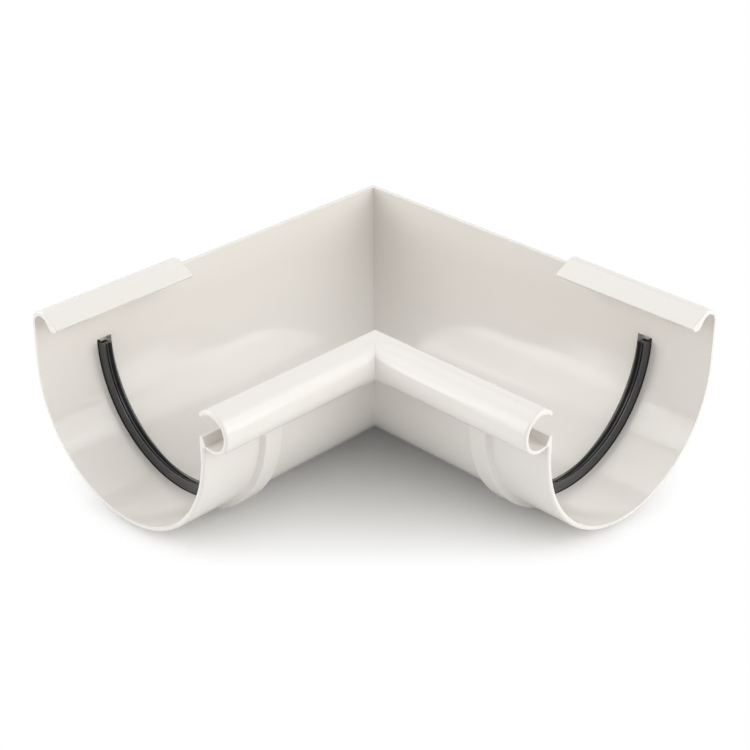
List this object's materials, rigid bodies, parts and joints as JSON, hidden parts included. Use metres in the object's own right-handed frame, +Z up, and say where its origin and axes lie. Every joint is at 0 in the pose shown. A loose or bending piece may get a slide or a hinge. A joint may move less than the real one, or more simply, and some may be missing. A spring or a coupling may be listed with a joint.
{
  "type": "internal gutter angle",
  "caption": "Internal 90 degree corner for a half-round rainwater gutter, with a socket on each arm that has a hook, a front bead and a rubber seal.",
  "frame": {"origin": "under the middle of the part's box, on the level that its collars stand on", "axes": "+Z up; one arm leaves the corner along +X and the other along +Y; the back walls face -Y and -X"},
  "size_m": [0.2158, 0.2158, 0.0876],
  "materials": {
    "body": "warm off-white moulded PVC with a smooth soft gloss",
    "seal": "black rubber with a slight sheen"
  },
  "bodies": {
    "root": {"angle_body": "body", "seal_x_arm": "seal", "seal_y_arm": "seal"}
  },
  "joints": []
}
